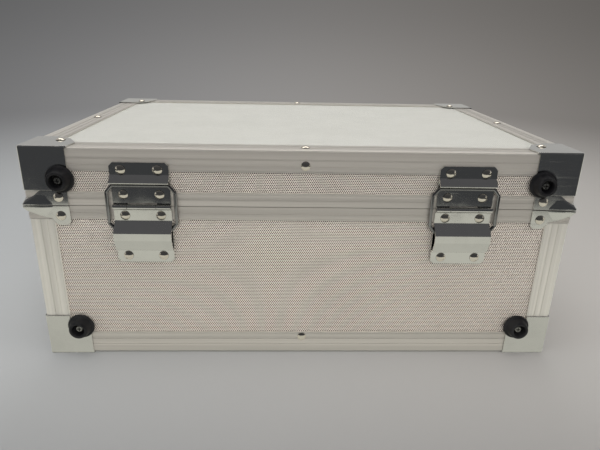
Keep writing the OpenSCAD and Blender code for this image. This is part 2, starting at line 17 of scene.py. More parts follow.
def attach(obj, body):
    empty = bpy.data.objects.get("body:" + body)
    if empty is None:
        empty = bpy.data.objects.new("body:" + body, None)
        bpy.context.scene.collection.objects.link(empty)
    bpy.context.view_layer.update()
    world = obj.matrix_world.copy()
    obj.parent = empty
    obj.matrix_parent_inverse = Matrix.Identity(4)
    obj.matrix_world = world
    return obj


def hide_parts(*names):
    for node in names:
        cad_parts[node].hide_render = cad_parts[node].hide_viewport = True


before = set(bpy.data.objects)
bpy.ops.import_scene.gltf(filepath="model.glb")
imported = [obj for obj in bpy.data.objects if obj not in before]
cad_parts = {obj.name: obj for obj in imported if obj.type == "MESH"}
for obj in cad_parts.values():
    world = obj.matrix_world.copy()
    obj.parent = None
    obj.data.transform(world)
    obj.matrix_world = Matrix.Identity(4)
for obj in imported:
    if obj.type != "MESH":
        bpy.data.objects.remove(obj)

LOG = logging.getLogger("carrying_case")
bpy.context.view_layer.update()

FLOAT, VECTOR, GEOMETRY = "NodeSocketFloat", "NodeSocketVector", "NodeSocketGeometry"
BODIES = ("base", "lid")
ENDS = ("rear", "front")
SIDES = ("left", "right")

Colour = tuple[float, float, float]
Place = tuple[float, float, float]
Socket = bpy.types.NodeSocket
Tree = bpy.types.NodeTree
Material = bpy.types.Material
Mesh = bpy.types.Mesh
Object = bpy.types.Object
Value = float | Sequence[float] | Socket


class Axis(Enum):
    """A direction of the case: X along the hinge, Y front to rear, Z up."""

    X = 0
    Y = 1
    Z = 2


class Grain(Enum):
    """The way the fine lines of an extruded rail run."""

    ALONG_X = "along x"
    ALONG_Y = "along y"
    ALONG_Z = "along z"
    ROUND_THE_RIM = "round the rim"


class Graph:
    """Adds nodes to one node tree and joins them."""

    def __init__(self, tree: Tree) -> None:
        """Starts on a tree.

        Args:
            tree: the tree that the nodes are added to.
        """
        self.tree = tree

    def add(
        self, kind: str, inputs: Mapping[str | int, Value] | None = None, **settings: object
    ) -> bpy.types.Node:
        """Adds a node.

        Args:
            kind: the node's type name.
            inputs: a constant or a socket for each named or numbered input.
            settings: the node's own properties.

        Returns:
            The new node.
        """
        node = self.tree.nodes.new(kind)
        for name, value in settings.items():
            setattr(node, name, value)
        for key, value in (inputs or {}).items():
            self.feed(node.inputs[key], value)
        return node

    def feed(self, socket: Socket, value: Value) -> None:
        """Joins a socket to an input, or sets the input's own value.

        Args:
            socket: the input.
            value: a constant, or the socket that it comes from.
        """
        if isinstance(value, Socket):
            self.tree.links.new(value, socket)
        else:
            socket.default_value = value

    def math(self, operation: str, *values: Value) -> Socket:
        """Adds one scalar step.

        Args:
            operation: the step's name, such as MULTIPLY.
            values: its operands.

        Returns:
            The result's socket.
        """
        return self.add("ShaderNodeMath", dict(enumerate(values)), operation=operation).outputs[0]

    def vector(self, operation: str, *values: Value) -> Socket:
        """Adds one vector step.

        Args:
            operation: the step's name, such as MULTIPLY.
            values: its operands.

        Returns:
            The result's socket, a number for LENGTH and DOT_PRODUCT.
        """
        node = self.add("ShaderNodeVectorMath", dict(enumerate(values)), operation=operation)
        return node.outputs[1 if operation in ("LENGTH", "DOT_PRODUCT") else 0]

    def colours(self, factor: Value, first: Value, second: Value, mode: str = "MIX") -> Socket:
        """Mixes two colours.

        Args:
            factor: 0 for the first, 1 for the second.
            first: a colour.
            second: another colour.
            mode: the way they mix.

        Returns:
            The mixed colour's socket.
        """
        inputs = {0: factor, 6: wide(first), 7: wide(second)}
        return self.add("ShaderNodeMix", inputs, data_type="RGBA", blend_type=mode).outputs[2]

    def vectors(self, factor: Value, first: Value, second: Value) -> Socket:
        """Mixes two vectors, with a factor of 0 for the first and 1 for the second."""
        return self.add("ShaderNodeMix", {0: factor, 4: first, 5: second}, data_type="VECTOR").outputs[1]

    def remap(
        self, value: Value, start: float, end: float, low: float = 0.0, high: float = 1.0
    ) -> Socket:
        """Turns one span of values into another with soft ends.

        Args:
            value: what is turned.
            start: the value that gives low.
            end: the value that gives high.
            low: the result at the start.
            high: the result at the end.

        Returns:
            The result's socket.
        """
        inputs = {0: value, 1: start, 2: end, 3: low, 4: high}
        return self.add("ShaderNodeMapRange", inputs, interpolation_type="SMOOTHSTEP").outputs[0]

    def noise(
        self, vector: Value, scale: float, detail: float = 2.0, roughness: float = 0.5
    ) -> Socket:
        """Adds a noise pattern.

        Args:
            vector: where it is read.
            scale: its fineness in waves a metre.
            detail: how many finer layers it has.
            roughness: how strong the finer layers are.

        Returns:
            The socket of its value, about 0 to 1.
        """
        inputs = {"Vector": vector, "Scale": scale, "Detail": detail, "Roughness": roughness}
        return self.add("ShaderNodeTexNoise", inputs).outputs["Fac"]

    def scale(self, vector: Value, factor: Value) -> Socket:
        """Multiplies a vector by a number."""
        return self.add("ShaderNodeVectorMath", {0: vector, "Scale": factor}, operation="SCALE").outputs[0]

    def times(self, value: Value, factor: Value) -> Socket:
        """Multiplies two numbers."""
        return self.math("MULTIPLY", value, factor)

    def plane(self, across: Value, up: Value) -> Socket:
        """Makes a vector of two numbers and a third of 0."""
        return self.add("ShaderNodeCombineXYZ", {0: across, 1: up}).outputs[0]

    def mix_shaders(self, factor: Value, first: Value, second: Value) -> Socket:
        """Mixes two shaders, with a factor of 0 for the first and 1 for the second."""
        return self.add("ShaderNodeMixShader", {0: factor, 1: first, 2: second}).outputs[0]

    def parts(self, vector: Value) -> Sequence[Socket]:
        """Splits a vector into its three numbers."""
        return self.add("ShaderNodeSeparateXYZ", {0: vector}).outputs


def scaled(colour: Colour, share: float) -> Colour:
    """Darkens or lightens a colour by a factor."""
    red, green, blue = colour
    return (red * share, green * share, blue * share)


def wide(colour: Value) -> Value:
    """Gives a plain colour its fourth number, and leaves a socket alone."""
    if isinstance(colour, tuple) and len(colour) == 3:
        return (*colour, 1.0)
    return colour


def open_group(
    name: str, kind: str, inputs: Mapping[str, tuple[str, Value | None]], outputs: Mapping[str, str]
) -> tuple[Graph, bpy.types.NodeOutputs, bpy.types.NodeInputs]:
    """Starts a node group.

    Args:
        name: the group's name.
        kind: the tree's type name.
        inputs: each input's socket type and its usual value.
        outputs: each output's socket type.

    Returns:
        The graph, the sockets that give the inputs and the sockets that take the results.
    """
    tree = bpy.data.node_groups.new(name, kind)
    for label, (socket_type, usual) in inputs.items():
        socket = tree.interface.new_socket(name=label, in_out="INPUT", socket_type=socket_type)
        if usual is not None:
            socket.default_value = usual
    for label, socket_type in outputs.items():
        tree.interface.new_socket(name=label, in_out="OUTPUT", socket_type=socket_type)
    graph = Graph(tree)
    return graph, graph.add("NodeGroupInput").outputs, graph.add("NodeGroupOutput").inputs


class Effects:
    """The surface effects that several finishes share, one shader group each."""

    def __init__(self) -> None:
        """Builds every group."""
        self.dimples = self._dimples()
        self.grain = self._grain()
        self.handling = self._handling()
        self.soft_edges = self._soft_edges()
        self.painted_corner_shade = self._painted_corner_shade()

    @staticmethod
    def _dimples() -> Tree:
        """Makes the staggered rows of pressed dots."""
        inputs = {
            "Vector": (VECTOR, None),
            "Pitch": (VECTOR, (0.0018, 0.003, 1.0)),
            "Radius": (FLOAT, 0.0006),
        }
        outputs = {"Dot": FLOAT}
        graph, given, result = open_group("pressed dots", "ShaderNodeTree", inputs, outputs)
        cell = graph.vector("DIVIDE", given["Vector"], given["Pitch"])
        nearest: list[Socket] = []
        for shift in (0.0, 0.5):
            moved = graph.vector("ADD", cell, (shift, shift, 0.0))
            inside = graph.vector("SUBTRACT", graph.vector("FRACTION", moved), (0.5, 0.5, 0.0))
            flat = graph.vector("MULTIPLY", inside, (1.0, 1.0, 0.0))
            nearest.append(graph.vector("LENGTH", graph.vector("MULTIPLY", flat, given["Pitch"])))
        share = graph.math("DIVIDE", graph.math("MINIMUM", *nearest), given["Radius"])
        graph.feed(result["Dot"], graph.remap(share, 1.15, 0.7))
        return graph.tree

    @staticmethod
    def _grain() -> Tree:
        """Makes the fine drawn lines of an extrusion, from coordinates already stretched along it."""
        inputs = {"Vector": (VECTOR, None)}
        outputs = {"Lines": FLOAT, "Bands": FLOAT}
        graph, given, result = open_group("drawn lines", "ShaderNodeTree", inputs, outputs)
        fine = graph.noise(given["Vector"], 1.0, 2.0, 0.7)
        broad = graph.noise(given["Vector"], 0.13, 1.0, 0.5)
        graph.feed(result["Lines"], graph.remap(fine, 0.3, 0.7))
        graph.feed(result["Bands"], graph.remap(broad, 0.35, 0.65))
        return graph.tree

    @staticmethod
    def _handling() -> Tree:
        """Makes the faint haze and hairline scratches of a case that has been carried about."""
        inputs = {"Vector": (VECTOR, None), "Scale": (FLOAT, 1.0)}
        outputs = {"Haze": FLOAT, "Scratches": FLOAT}
        graph, given, result = open_group("handling marks", "ShaderNodeTree", inputs, outputs)
        place = graph.scale(given["Vector"], given["Scale"])
        haze = graph.noise(place, 28.0, 4.0, 0.62)
        graph.feed(result["Haze"], graph.remap(haze, 0.36, 0.68))
        strokes = (
            ((0.5, 0.9, 0.3), (26.0, 900.0, 620.0)),
            ((-0.8, 0.2, 1.1), (700.0, 30.0, 980.0)),
        )
        hairlines: list[Socket] = []
        for turn, stretch in strokes:
            inputs = {"Vector": place, "Rotation": turn, "Scale": stretch}
            turned = graph.add("ShaderNodeMapping", inputs).outputs[0]
            hairlines.append(graph.remap(graph.noise(turned, 1.0, 0.0), 0.70, 0.76))
        patches = graph.remap(graph.noise(place, 11.0, 1.0), 0.42, 0.62)
        lines = graph.math("MAXIMUM", *hairlines)
        graph.feed(result["Scratches"], graph.times(lines, patches))
        return graph.tree

    @staticmethod
    def _soft_edges() -> Tree:
        """Makes the small radius that wear gives every sharp edge, and a mask of where it is; the finishes
        use the mask to paint edges lighter, partly as burnished wear and partly as a painted highlight.
        """
        inputs = {"Radius": (FLOAT, 0.0005)}
        outputs = {"Normal": VECTOR, "Edge": FLOAT}
        graph, given, result = open_group("worn edges", "ShaderNodeTree", inputs, outputs)
        rounded = graph.add("ShaderNodeBevel", {"Radius": given["Radius"]}, samples=4).outputs[0]
        plain = graph.add("ShaderNodeNewGeometry").outputs["Normal"]
        agreement = graph.vector("DOT_PRODUCT", rounded, plain)
        graph.feed(result["Normal"], rounded)
        graph.feed(result["Edge"], graph.remap(agreement, 0.95, 0.75))
        return graph.tree

    @staticmethod
    def _painted_corner_shade() -> Tree:
        """Masks the tight corners beside rivets, flanges and steps, where the plated finishes paint shade as
        a dark colour.
        """
        inputs = {"Reach": (FLOAT, 0.0015)}
        outputs = {"Painted corner shade": FLOAT}
        graph, given, result = open_group("tight corners", "ShaderNodeTree", inputs, outputs)
        openness = graph.add("ShaderNodeAmbientOcclusion", {"Distance": given["Reach"]}, samples=6)
        graph.feed(result["Painted corner shade"], graph.remap(openness.outputs["AO"], 0.80, 0.40))
        return graph.tree


class Surface:
    """One material under construction, with its shader and its coordinates."""

    def __init__(self, name: str) -> None:
        """Makes a material with a bare shader.

        Args:
            name: the material's name.
        """
        self.material = bpy.data.materials.new(name)
        self.material.use_nodes = True
        tree = self.material.node_tree
        self.shader = next(node for node in tree.nodes if node.type == "BSDF_PRINCIPLED")
        self.graph = Graph(tree)
        self.place = self.graph.add("ShaderNodeTexCoord").outputs["Object"]

    def set(self, **values: Value) -> None:
        """Fills the shader's inputs, named with underscores for spaces.

        Args:
            values: a constant or a socket for each input.
        """
        for name, value in values.items():
            self.graph.feed(self.shader.inputs[name.replace("_", " ")], wide(value))

    def effect(self, tree: Tree, **inputs: Value) -> bpy.types.NodeOutputs:
        """Places a shared effect.

        Args:
            tree: the effect's group.
            inputs: a constant or a socket for each of its inputs.

        Returns:
            The group's outputs.
        """
        return self.graph.add("ShaderNodeGroup", inputs, node_tree=tree).outputs

    def bump(
        self, height: Value, depth: float, normal: Value | None = None, strength: float = 1.0
    ) -> Socket:
        """Adds relief.

        Args:
            height: the relief, 0 to 1.
            depth: how deep it is in metres.
            normal: the normal that it starts from.
            strength: how much of it shows.

        Returns:
            The socket of the new normal.
        """
        inputs: dict[str | int, Value] = {"Height": height, "Distance": depth, "Strength": strength}
        if normal is not None:
            inputs["Normal"] = normal
        return self.graph.add("ShaderNodeBump", inputs).outputs["Normal"]


@dataclass(frozen=True)
class Finish:
    """How a material looks; each kind paints its own surface."""

    def make(self, name: str, effects: Effects) -> Material:
        """Builds the material.

        Args:
            name: its name.
            effects: the shared effects.

        Returns:
            The material.
        """
        surface = Surface(name)
        self.paint(surface, effects)
        return surface.material

    def paint(self, surface: Surface, effects: Effects) -> None:
        """Fills the surface's shader.

        Args:
            surface: the material under construction.
            effects: the shared effects.
        """
        raise NotImplementedError


@dataclass(frozen=True)
class EmbossedLaminate(Finish):
    """Silver laminate pressed with staggered rows of small dots."""

    across: Axis = Axis.X
    up: Axis = Axis.Z
    pitch: float = 0.00182
    row_pitch: float = 0.0030
    dot: float = 0.00072
    ground: Colour = (0.90, 0.82, 0.74)
    # Dark colour of the dots: painted shade inside the pressed dots; contrast sets how much of it shows.
    painted_dot_shade: Colour = (0.05, 0.045, 0.04)
    contrast: float = 1.0
    metallic: float = 0.2
    roughness: float = 0.45

    def paint(self, surface: Surface, effects: Effects) -> None:
        """Presses dots into a slightly patchy ground and darkens them, as painted shade inside the dots."""
        graph = surface.graph
        numbers = graph.parts(surface.place)
        flat = graph.plane(numbers[self.across.value], numbers[self.up.value])
        pitch = (self.pitch, self.row_pitch, 1.0)
        dot = surface.effect(effects.dimples, Vector=flat, Pitch=pitch, Radius=self.dot)["Dot"]
        haze = surface.effect(effects.handling, Vector=surface.place, Scale=0.6)["Haze"]
        patchy = graph.colours(graph.times(haze, 0.22), self.ground, scaled(self.ground, 0.8))
        surface.set(
            Base_Color=graph.colours(graph.times(dot, self.contrast), patchy, self.painted_dot_shade),
            Metallic=self.metallic,
            Roughness=graph.math("MULTIPLY_ADD", haze, 0.08, self.roughness),
            Normal=surface.bump(graph.math("SUBTRACT", 1.0, dot), 0.00022, strength=0.8),
        )


@dataclass(frozen=True)
class SatinRail(Finish):
    """Anodised extrusion with drawn lines along its length."""

    grain: Grain = Grain.ALONG_X
    tone: Colour = (0.69, 0.655, 0.605)
    line_shade: float = 0.84
    band_shade: float = 0.66
    # Edge colour, partly burnished wear and partly a painted highlight.
    lightened: Colour = (0.92, 0.91, 0.88)
    roughness: float = 0.34
    edge_radius: float = 0.0003

    def paint(self, surface: Surface, effects: Effects) -> None:
        """Draws the lines and lightens the edges, partly as burnished wear and partly as a painted highlight.
        """
        graph = surface.graph
        drawn = surface.effect(effects.grain, Vector=self._stretched(surface))
        edges = surface.effect(effects.soft_edges, Radius=self.edge_radius)
        scratches = surface.effect(effects.handling, Vector=surface.place, Scale=1.0)["Scratches"]
        lined = graph.colours(graph.times(drawn["Lines"], 0.5), self.tone, scaled(self.tone, self.line_shade))
        banded = graph.colours(graph.times(drawn["Bands"], 0.55), lined, scaled(self.tone, self.band_shade))
        rough = graph.math("MULTIPLY_ADD", scratches, 0.08, self.roughness)
        # Lighter edges: partly burnished wear, partly a painted highlight.
        surface.set(
            Base_Color=graph.colours(graph.times(edges["Edge"], 0.2), banded, self.lightened),
            Metallic=0.7,
            Roughness=graph.math("MULTIPLY_ADD", drawn["Lines"], 0.08, rough),
            Normal=surface.bump(drawn["Lines"], 0.00001, edges["Normal"], 0.3),
        )

    def _stretched(self, surface: Surface) -> Socket:
        """Stretches a surface's coordinates along the grain."""
        graph = surface.graph
        fine, long = 1500.0, 9.0
        along = {
            Grain.ALONG_X: (long, fine, fine),
            Grain.ALONG_Y: (fine, long, fine),
            Grain.ALONG_Z: (fine, fine, long),
        }
        if self.grain is not Grain.ROUND_THE_RIM:
            return graph.vector("MULTIPLY", surface.place, along[self.grain])
        facing = graph.parts(graph.add("ShaderNodeNewGeometry").outputs["Normal"])[0]
        sideways = graph.remap(graph.math("ABSOLUTE", facing), 0.45, 0.55)
        straight = graph.vector("MULTIPLY", surface.place, along[Grain.ALONG_X])
        turned = graph.vector("MULTIPLY", surface.place, along[Grain.ALONG_Y])
        return graph.vectors(sideways, straight, turned)


@dataclass(frozen=True)
class PlatedSheet(Finish):
    """Nickel-plated pressed sheet with a slightly wavy mirror surface."""

    tone: Colour = (0.76, 0.755, 0.72)
    # Edge colour, partly burnished wear and partly a painted highlight.
    lightened: Colour = (0.95, 0.94, 0.91)
    # Dark colour painted into the tight corners as shade.
    painted_shade_tone: Colour = (0.03, 0.03, 0.03)
    roughness: float = 0.07
    haze: float = 0.07
    wave: float = 0.00012
    edge_radius: float = 0.00035
    corner_reach: float = 0.0024

    def paint(self, surface: Surface, effects: Effects) -> None:
        """Clouds the mirror, lightens its edges as partly burnished wear and partly painted highlight, and
        darkens its tight corners with painted shade.
        """
        graph = surface.graph
        edges = surface.effect(effects.soft_edges, Radius=self.edge_radius)
        marks = surface.effect(effects.handling, Vector=surface.place, Scale=1.2)
        painted_corner_shade_mask = surface.effect(effects.painted_corner_shade, Reach=self.corner_reach)["Painted corner shade"]
        clouded = graph.colours(graph.times(marks["Haze"], 0.25), self.tone, scaled(self.tone, 0.82))
        # Lighter edges: partly burnished wear, partly a painted highlight.
        lightened = graph.colours(graph.times(edges["Edge"], 0.3), clouded, self.lightened)
        rough = graph.math("MULTIPLY_ADD", marks["Haze"], self.haze, self.roughness)
        # Painted shade: the base colour darkens in the tight corners.
        surface.set(
            Base_Color=graph.colours(graph.times(painted_corner_shade_mask, 0.75), lightened, self.painted_shade_tone),
            Metallic=1.0,
            Roughness=graph.math("MULTIPLY_ADD", marks["Scratches"], 0.10, rough),
            Normal=surface.bump(graph.noise(surface.place, 34.0, 1.0), self.wave, edges["Normal"]),
        )


@dataclass(frozen=True)
class Moulding(Finish):
    """Black moulded rubber or plastic with a fine tooled texture."""

    tone: Colour = (0.005, 0.005, 0.006)
    lightened: Colour = (0.014, 0.014, 0.015)
    roughness: float = 0.40
    pebble: float = 1100.0
    relief: float = 0.00006

    def paint(self, surface: Surface, effects: Effects) -> None:
        """Roughens the surface with pebbles and greys it where it was handled."""
        graph = surface.graph
        haze = surface.effect(effects.handling, Vector=surface.place, Scale=2.2)["Haze"]
        inputs = {"Vector": surface.place, "Scale": self.pebble}
        pebbles = graph.add("ShaderNodeTexVoronoi", inputs).outputs["Distance"]
        surface.set(
            Base_Color=graph.colours(haze, self.tone, self.lightened),
            Specular_IOR_Level=0.28,
            Roughness=graph.math("MULTIPLY_ADD", haze, 0.16, self.roughness),
            Normal=surface.bump(pebbles, self.relief, strength=0.6),
        )


@dataclass(frozen=True)
class Felt(Finish):
    """Dark needled felt."""

    tone: Colour = (0.035, 0.036, 0.040)
    fibre: Colour = (0.12, 0.12, 0.128)

    def paint(self, surface: Surface, effects: Effects) -> None:
        """Mixes pale fibres and tufts into a dark, slightly crushed ground."""
        graph = surface.graph
        haze = surface.effect(effects.handling, Vector=surface.place, Scale=0.8)["Haze"]
        fibres = graph.noise(surface.place, 1400.0, 3.0, 0.75)
        tufts = graph.remap(graph.noise(surface.place, 260.0, 2.0), 0.4, 0.7)
        fuzz = graph.times(graph.remap(fibres, 0.45, 0.8), graph.math("MULTIPLY_ADD", tufts, 0.5, 0.5))
        crushed = graph.colours(graph.times(haze, 0.3), self.tone, self.fibre)
        surface.set(
            Base_Color=graph.colours(fuzz, crushed, self.fibre),
            Roughness=0.95,
            Sheen_Weight=0.25,
            Normal=surface.bump(fibres, 0.0003, strength=0.7),
        )


LATCH_SHEET = PlatedSheet(tone=(0.77, 0.765, 0.735), roughness=0.08)
# The wire's dark tone is a painted reflection: it stands in for the dark surroundings that the plated wire
# mirrors.
WIRE = PlatedSheet(tone=(0.30, 0.30, 0.30), roughness=0.04, haze=0.03, wave=0.00003)


class FinishBook:
    """Makes each finish once and hands it out by name."""

    def __init__(self) -> None:
        """Opens an empty book with the shared effects."""
        self.effects = Effects()
        self.made: dict[str, Material] = {}

    def take(self, name: str, finish: Finish) -> Material:
        """Gives a material, made on its first use.

        Args:
            name: the material's name.
            finish: how it looks.

        Returns:
            The material.
        """
        if name not in self.made:
            self.made[name] = finish.make(name, self.effects)
        return self.made[name]


def dress(nodes: Sequence[str], material: Material) -> None:
    """Gives CAD nodes a material.

    Args:
        nodes: their names.
        material: the material.
    """
    for name in nodes:
        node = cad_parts[name]
        if not node.material_slots:
            node.data.materials.append(material)
        for held in node.material_slots:
            held.material = material
    LOG.info("%s: %s", material.name, ", ".join(nodes))


def ride_as(piece: Object, body: str, replaced: Sequence[str]) -> Object:
    """Sets a finished piece on its body.

    Args:
        piece: the piece.
        body: the CAD body that carries it.
        replaced: the CAD nodes that it stands for.

    Returns:
        The piece.
    """
    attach(piece, body)
    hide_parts(*replaced)
    LOG.info("%s rides on %s in place of %s", piece.name, body, ", ".join(replaced))
    return piece


def add_object(name: str, mesh: Mesh) -> Object:
    """Puts a mesh in the scene at the origin.

    Args:
        name: the object's name.
        mesh: its mesh.

    Returns:
        The object.
    """
    made = bpy.data.objects.new(name, mesh)
    bpy.context.scene.collection.objects.link(made)
    return made


def grown(
    name: str, seed: Mesh, tree: Tree, sizes: Mapping[str, Value]
) -> Object:
    """Runs a geometry tree on a seed mesh and keeps the plain mesh that it makes.

    Args:
        name: the new object's name.
        seed: the mesh that the tree starts from.
        tree: the geometry tree.
        sizes: a value for each of the tree's named inputs.

    Returns:
        The object with the finished mesh.
    """
    carrier = add_object(f"{name}_seed", seed)
    modifier = carrier.modifiers.new("grow", "NODES")
    modifier.node_group = tree
    for item in tree.interface.items_tree:
        if item.item_type == "SOCKET" and item.in_out == "INPUT" and item.name in sizes:
            modifier[item.identifier] = sizes[item.name]
    bpy.context.view_layer.update()
    evaluated = carrier.evaluated_get(bpy.context.evaluated_depsgraph_get())
    mesh = bpy.data.meshes.new_from_object(evaluated)
    bpy.data.objects.remove(carrier)
    mesh.name = name
    return add_object(name, mesh)


def finished(graph: Graph, shape: bpy.types.Node, material: Material) -> Socket:
    """Ends a geometry tree: smooth, without instances, and with its material.

    Args:
        graph: the tree.
        shape: the node that gives the shape.
        material: its material.

    Returns:
        The finished geometry's socket.
    """
    smooth = graph.add("GeometryNodeSetShadeSmooth", {0: shape.outputs[0]})
    real = graph.add("GeometryNodeRealizeInstances", {0: smooth.outputs[0]})
    return graph.add("GeometryNodeSetMaterial", {0: real.outputs[0], "Material": material}).outputs[0]


def turned_piece(profile: Sequence[tuple[float, float]], place: Matrix, steps: int = 56) -> bmesh.types.BMesh:
    """Turns a closed half profile round its axis.

    Args:
        profile: radius and height of each corner, in metres.
        place: where the piece goes.
        steps: the flats round it.

    Returns:
        The closed mesh.
    """
    shape = bmesh.new()
    rings = []
    for step in range(steps):
        angle = 2 * math.pi * step / steps
        ring = [shape.verts.new((r * math.cos(angle), r * math.sin(angle), h)) for r, h in profile]
        rings.append(ring)
    for step, ring in enumerate(rings):
        following = rings[(step + 1) % steps]
        for low in range(len(profile)):
            high = (low + 1) % len(profile)
            shape.faces.new((ring[low], following[low], following[high], ring[high]))
    bmesh.ops.remove_doubles(shape, verts=shape.verts, dist=1e-7)
    bmesh.ops.recalc_face_normals(shape, faces=shape.faces)
    shape.transform(place)
    return shape


def smooth_mesh(name: str, shapes: Sequence[bmesh.types.BMesh], sharp_degrees: float) -> Mesh:
    """Joins finished shapes in one smooth mesh with its sharp edges marked.

    Args:
        name: the mesh's name.
        shapes: the shapes, which are used up.
        sharp_degrees: the angle past which an edge stays sharp.

    Returns:
        The mesh.
    """
    joined = bmesh.new()
    for shape in shapes:
        part = bpy.data.meshes.new(f"{name}_part")
        shape.to_mesh(part)
        shape.free()
        joined.from_mesh(part)
        bpy.data.meshes.remove(part)
    mesh = bpy.data.meshes.new(name)
    joined.to_mesh(mesh)
    joined.free()
    mesh.shade_smooth()
    mesh.set_sharp_from_angle(angle=math.radians(sharp_degrees))
    return mesh


class Part:
    """One group of pieces of the case."""

    def build(self, book: FinishBook) -> None:
        """Dresses the group's CAD nodes and makes the pieces that replace some of them.

        Args:
            book: the finishes.
        """
        raise NotImplementedError


class Walls(Part):
    """The laminated boards of the base and the lid."""

    def build(self, book: FinishBook) -> None:
        """Dresses the boards, each with its dots square to its own edges."""
        bottom = book.take("dotted laminate bottom", EmbossedLaminate(up=Axis.Y, contrast=0.6))
        # The top board's dots get a paler painted shade.
        pale = EmbossedLaminate(up=Axis.Y, ground=(0.64, 0.64, 0.60), painted_dot_shade=(0.34, 0.34, 0.31), contrast=0.5)
        top = book.take("dotted laminate top", pale)
        # The lid's walls take a darker ground than the base's: painted shade, as the lid walls get less light
        # bounced up from the floor.
        for body, ground in (("base", (0.93, 0.85, 0.765)), ("lid", (0.80, 0.735, 0.665))):
            long_finish = EmbossedLaminate(ground=ground)
            side_finish = EmbossedLaminate(across=Axis.Y, ground=ground)
            long_wall = book.take(f"dotted laminate {body} long walls", long_finish)
            side_wall = book.take(f"dotted laminate {body} side walls", side_finish)
            dress([f"{body}_rear_panel", f"{body}_front_panel"], long_wall)
            dress([f"{body}_left_panel", f"{body}_right_panel"], side_wall)
        dress(["base_bottom_panel"], bottom)
        dress(["lid_top_panel"], top)


class EdgeFrame(Part):
    """The grooved rails, posts and rims."""

    def build(self, book: FinishBook) -> None:
        """Dresses the extrusions, with drawn lines along each."""
        lengthwise = book.take("satin rail along the case", SatinRail(Grain.ALONG_X))
        crosswise = book.take("satin rail across the case", SatinRail(Grain.ALONG_Y))
        upright = book.take("satin post", SatinRail(Grain.ALONG_Z, tone=(0.86, 0.835, 0.775)))
        rim = book.take("satin rim", SatinRail(Grain.ROUND_THE_RIM))
        for level in ("bottom", "top"):
            dress([f"{level}_rail_rear", f"{level}_rail_front"], lengthwise)
            dress([f"{level}_rail_left", f"{level}_rail_right"], crosswise)
        dress([f"post_{end}_{side}" for end in ENDS for side in SIDES], upright)
        dress(["lid_posts"], upright)
        dress(["base_rim", "lid_rim"], rim)


class PressedFittings(Part):
    """The three-sided corners and the flared guards."""

    def build(self, book: FinishBook) -> None:
        """Dresses the pressed pieces."""
        sheet = book.take("plated corner sheet", PlatedSheet())
        dress([f"{body}_corner_{end}_{side}" for body in BODIES for end in ENDS for side in SIDES], sheet)
        dress(["base_rim_guards", "lid_rim_guards"], sheet)


@dataclass
class StopRings(Part):
    """The closed wire rings that stop the lid, with cut corners."""

    half_width: float = 0.0292
    top: float = 0.1695
    bottom: float = 0.1290
    centre: float = 0.141
    depth: float = -0.1694
    wire: float = 0.0030
    cut_top: float = 0.0052
    cut_side: float = 0.0062
    bend: float = 0.0016

    def build(self, book: FinishBook) -> None:
        """Bends both rings."""
        tree = self.wire_tree(book.take("plated wire", WIRE))
        for side, place in zip(SIDES, (-self.centre, self.centre)):
            name = f"stop_ring_{side}_wire"
            piece = grown(name, self.path(name, place), tree, {"Wire": self.wire / 2, "Bend": self.bend})
            ride_as(piece, f"{side}_stop_ring", [f"stop_ring_{side}"])

    def path(self, name: str, centre: float) -> Mesh:
        """Draws the middle line of a ring.

        Args:
            name: the mesh's name.
            centre: the ring's middle, across the case.

        Returns:
            A mesh of edges.
        """
        wide_half, cut, side = self.half_width, self.cut_top, self.cut_side
        half = [
            (wide_half - cut, self.top),
            (wide_half, self.top - side),
            (wide_half, self.bottom + side),
            (wide_half - cut, self.bottom),
        ]
        corners = half + [(-x, z) for x, z in reversed(half)]
        mesh = bpy.data.meshes.new(name)
        points = [(centre + x, self.depth, z) for x, z in corners]
        edges = [(n, (n + 1) % len(points)) for n in range(len(points))]
        mesh.from_pydata(points, edges, [])
        return mesh

    @staticmethod
    def wire_tree(material: Material) -> Tree:
        """Builds the geometry tree that turns a line into bent wire.

        Args:
            material: the wire's material.

        Returns:
            The tree.
        """
        inputs = {
            "Geometry": (GEOMETRY, None),
            "Wire": (FLOAT, 0.0015),
            "Bend": (FLOAT, 0.0016),
        }
        outputs = {"Geometry": GEOMETRY}
        graph, given, result = open_group("bent wire", "GeometryNodeTree", inputs, outputs)
        line = graph.add("GeometryNodeMeshToCurve", {0: given["Geometry"]})
        bent = graph.add("GeometryNodeFilletCurve")
        bent.mode = "POLY"
        graph.feed(bent.inputs["Curve"], line.outputs[0])
        graph.feed(bent.inputs["Radius"], given["Bend"])
        graph.feed(bent.inputs["Count"], 6)
        section_inputs = {"Resolution": 20, "Radius": given["Wire"]}
        section = graph.add("GeometryNodeCurvePrimitiveCircle", section_inputs)
        swept = graph.add("GeometryNodeCurveToMesh", {0: bent.outputs[0], 1: section.outputs[0]})
        graph.feed(result[0], finished(graph, swept, material))
        return graph.tree


class HingeLeaves(Part):
    """The riveted leaves of the two stop hinges and their pins."""

    def build(self, book: FinishBook) -> None:
        """Dresses the leaves and pins."""
        finish = PlatedSheet(tone=(0.78, 0.775, 0.735), roughness=0.05, wave=0.00010)
        leaf = book.take("plated hinge leaf", finish)
        dress([f"hinge_{side}_{level}_leaf" for side in SIDES for level in ("upper", "lower")], leaf)
        dress(["hinge_pins"], book.take("plated wire", WIRE))


